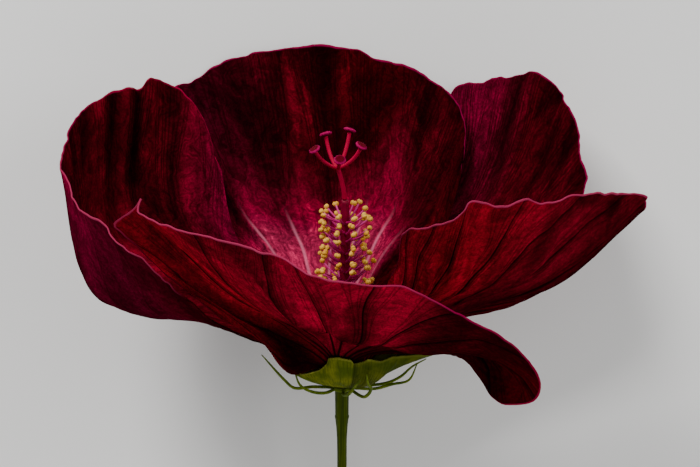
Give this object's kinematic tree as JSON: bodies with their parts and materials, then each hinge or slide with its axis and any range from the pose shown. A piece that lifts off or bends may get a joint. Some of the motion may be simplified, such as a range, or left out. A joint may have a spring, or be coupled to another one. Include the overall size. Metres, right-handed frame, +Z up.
{
  "type": "hardy hibiscus flower",
  "caption": "Open hardy hibiscus bloom with velvety crimson petals, a stamen column, a branched style, a green calyx and a cut stem, lying on its back petals.",
  "frame": {"origin": "on the surface that the flower lies on, below the middle of its box", "axes": "+Y along the flower from the stem's end to the open face, +Z up, +X to the right of the front petal"},
  "size_m": [0.1956, 0.2263, 0.1566],
  "materials": {
    "stem": "fresh smooth green stalk",
    "epicalyx": "fresh green bractlets",
    "calyx": "fresh ribbed olive green sepals",
    "petal": "velvety crimson petal with dark veins",
    "stamen": "pink filaments with golden anthers",
    "style": "crimson style with downy stigmas"
  },
  "bodies": {
    "root": {"stem": "stem", "epicalyx": "epicalyx", "calyx": "calyx", "petal_1": "petal", "petal_2": "petal", "petal_3": "petal", "petal_4": "petal", "petal_5": "petal", "staminal_column": "stamen", "style": "style"}
  },
  "joints": []
}
